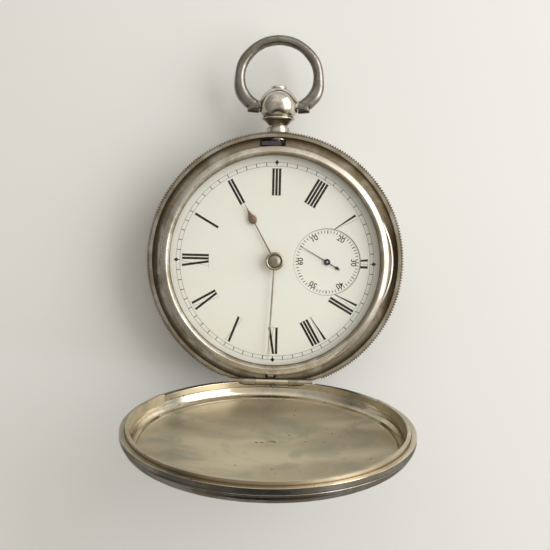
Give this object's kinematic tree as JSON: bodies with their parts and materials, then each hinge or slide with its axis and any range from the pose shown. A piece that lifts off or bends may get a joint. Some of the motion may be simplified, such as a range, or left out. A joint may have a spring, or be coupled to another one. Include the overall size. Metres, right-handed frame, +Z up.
{
  "type": "pocket watch",
  "caption": "Key-wound silver hunter pocket watch with hinged lid, bezel, back and dust cover, bow, push button, enamel dial, hands and a lever movement.",
  "frame": {"origin": "on the watch's axis, in the plane of the flat centre of the back on which the watch rests", "axes": "+Z up, out of the dial; +Y towards the pendant and bow; +X to the right; the lid and back hinges lie at -Y"},
  "size_m": [0.05, 0.0762, 0.0587],
  "materials": {
    "case_silver": "aged silver, softly polished with yellow tarnish",
    "bezel_silver": "bright polished silver",
    "dark_silver": "greyed silver",
    "steel": "polished steel",
    "blued_steel": "fire-blued steel",
    "gilt": "frosted gilt brass",
    "brass": "polished brass",
    "enamel": "white vitreous enamel",
    "glass": "clear watch crystal",
    "copper_hand": "rose-brown hand",
    "pale_hand": "pale gold hand",
    "ruby": "synthetic ruby"
  },
  "bodies": {
    "case": {"case_band": "case_silver", "pendant": "dark_silver", "bow_pivot_screws": "steel", "lock_spring_screws": "steel", "fly_spring": "steel", "lid_hinge_pin": "steel", "bezel_hinge_pin": "steel", "back_hinge_pin": "steel", "dust_cover_hinge_pin": "steel", "dial": "enamel", "seconds_dial": "enamel", "main_plate": "gilt", "barrel_bridge": "gilt", "centre_bar": "gilt", "third_bar": "gilt", "fourth_bar": "gilt", "escape_cock": "gilt", "pallet_cock": "gilt", "balance_cock": "gilt", "movement_screws": "blued_steel", "case_screws": "blued_steel", "train_jewels": "ruby", "hairspring": "blued_steel", "click_spring": "steel"},
    "lid": {"front_lid": "case_silver", "lid_snap_lip": "case_silver"},
    "bezel_frame": {"bezel": "bezel_silver", "crystal": "glass"},
    "back": {"back_cover": "case_silver"},
    "inner_cover": {"dust_cover": "case_silver"},
    "bow_ring": {"bow": "dark_silver"},
    "button": {"push_button": "dark_silver"},
    "catch": {"lock_spring": "steel"},
    "minute_train": {"centre_wheel": "brass", "centre_arbor": "steel", "cannon_pinion": "steel", "minute_hand": "pale_hand", "hand_boss": "brass"},
    "hour_train": {"hour_wheel": "brass", "hour_hand": "copper_hand"},
    "motion_work": {"minute_wheel": "brass"},
    "third_train": {"third_wheel": "brass", "third_pinion": "steel"},
    "seconds_train": {"fourth_wheel": "brass", "fourth_pinion": "steel", "seconds_hand": "blued_steel"},
    "escape_train": {"escape_wheel": "brass", "escape_pinion": "steel"},
    "pallet": {"pallet_fork": "steel", "pallet_stones": "ruby"},
    "balance": {"balance_wheel": "brass", "balance_screws": "brass", "balance_staff": "steel"},
    "barrel": {"mainspring_barrel": "brass", "mainspring": "steel"},
    "winding": {"barrel_arbor": "steel", "ratchet_wheel": "steel"},
    "click_lever": {"click": "steel"},
    "regulator_lever": {"regulator": "steel"}
  },
  "joints": [
    {"name": "lid_hinge", "type": "hinge", "parent": "case", "child": "lid", "pos_m": [0, -0.0239, 0.0101], "axis": [1, 0, 0], "range_deg": [-96.3, 3]},
    {"name": "bezel_hinge", "type": "hinge", "parent": "case", "child": "bezel_frame", "pos_m": [-0.0227, 0, 0.0094], "axis": [0, -1, 0], "range_deg": [0, 75]},
    {"name": "back_hinge", "type": "hinge", "parent": "case", "child": "back", "pos_m": [0, -0.0239, 0.00445], "axis": [-1, 0, 0], "range_deg": [0, 98]},
    {"name": "dust_cover_hinge", "type": "hinge", "parent": "case", "child": "inner_cover", "pos_m": [0, -0.0226, 0.0048], "axis": [-1, 0, 0], "range_deg": [0, 80]},
    {"name": "bow_swing", "type": "hinge", "parent": "case", "child": "bow_ring", "pos_m": [0, 0.0303, 0.00728], "axis": [1, 0, 0], "range_deg": [-90, 90]},
    {"name": "button_press", "type": "slide", "parent": "case", "child": "button", "axis": [0, -1, 0], "range_m": [0, 0.0004]},
    {"name": "catch_flex", "type": "hinge", "parent": "case", "child": "catch", "pos_m": [-0.0197, 0.01137, 0.00728], "axis": [0, 0, -1], "range_deg": [0, 0.7]},
    {"name": "minute_turn", "type": "hinge", "parent": "case", "child": "minute_train", "pos_m": [0, 0, 0.009], "axis": [0, 0, -1], "continuous": true},
    {"name": "hour_turn", "type": "hinge", "parent": "case", "child": "hour_train", "pos_m": [0, 0, 0.009], "axis": [0, 0, -1], "continuous": true},
    {"name": "minute_wheel_turn", "type": "hinge", "parent": "case", "child": "motion_work", "pos_m": [0.0024, 0.00416, 0.0075], "axis": [0, 0, -1], "continuous": true},
    {"name": "third_turn", "type": "hinge", "parent": "case", "child": "third_train", "pos_m": [0.00542, 0.00474, 0.005], "axis": [0, 0, -1], "continuous": true},
    {"name": "seconds_turn", "type": "hinge", "parent": "case", "child": "seconds_train", "pos_m": [0.0103, 0, 0.005], "axis": [0, 0, -1], "continuous": true},
    {"name": "escape_turn", "type": "hinge", "parent": "case", "child": "escape_train", "pos_m": [0.01, -0.00593, 0.005], "axis": [0, 0, -1], "continuous": true},
    {"name": "barrel_turn", "type": "hinge", "parent": "case", "child": "barrel", "pos_m": [-0.009, 0, 0.005], "axis": [0, 0, -1], "continuous": true},
    {"name": "winding_turn", "type": "hinge", "parent": "case", "child": "winding", "pos_m": [-0.009, 0, 0.005], "axis": [0, 0, 1], "continuous": true},
    {"name": "pallet_swing", "type": "hinge", "parent": "case", "child": "pallet", "pos_m": [0.00724, -0.0091, 0.0058], "axis": [0, 0, -1], "range_deg": [-5, 5]},
    {"name": "balance_swing", "type": "hinge", "parent": "case", "child": "balance", "pos_m": [0.00357, -0.01333, 0.005], "axis": [0, 0, -1], "range_deg": [-270, 270]},
    {"name": "click_lift", "type": "hinge", "parent": "case", "child": "click_lever", "pos_m": [-0.00789, -0.00415, 0.0024], "axis": [0, 0, -1], "range_deg": [0, 8]},
    {"name": "regulator_turn", "type": "hinge", "parent": "case", "child": "regulator_lever", "pos_m": [0.00357, -0.01333, 0.0024], "axis": [0, 0, -1], "range_deg": [-15, 15]}
  ],
  "couplings": [
    {"joint": "dust_cover_hinge", "follows": "back_hinge", "ratio": 0.8},
    {"joint": "catch_flex", "follows": "button_press", "rad_per_m": 25.5},
    {"joint": "hour_turn", "follows": "minute_turn", "ratio": 0.083333},
    {"joint": "minute_wheel_turn", "follows": "minute_turn", "ratio": -0.33333},
    {"joint": "third_turn", "follows": "minute_turn", "ratio": -8},
    {"joint": "seconds_turn", "follows": "minute_turn", "ratio": 60},
    {"joint": "escape_turn", "follows": "minute_turn", "ratio": -600},
    {"joint": "barrel_turn", "follows": "minute_turn", "ratio": -0.125}
  ]
}
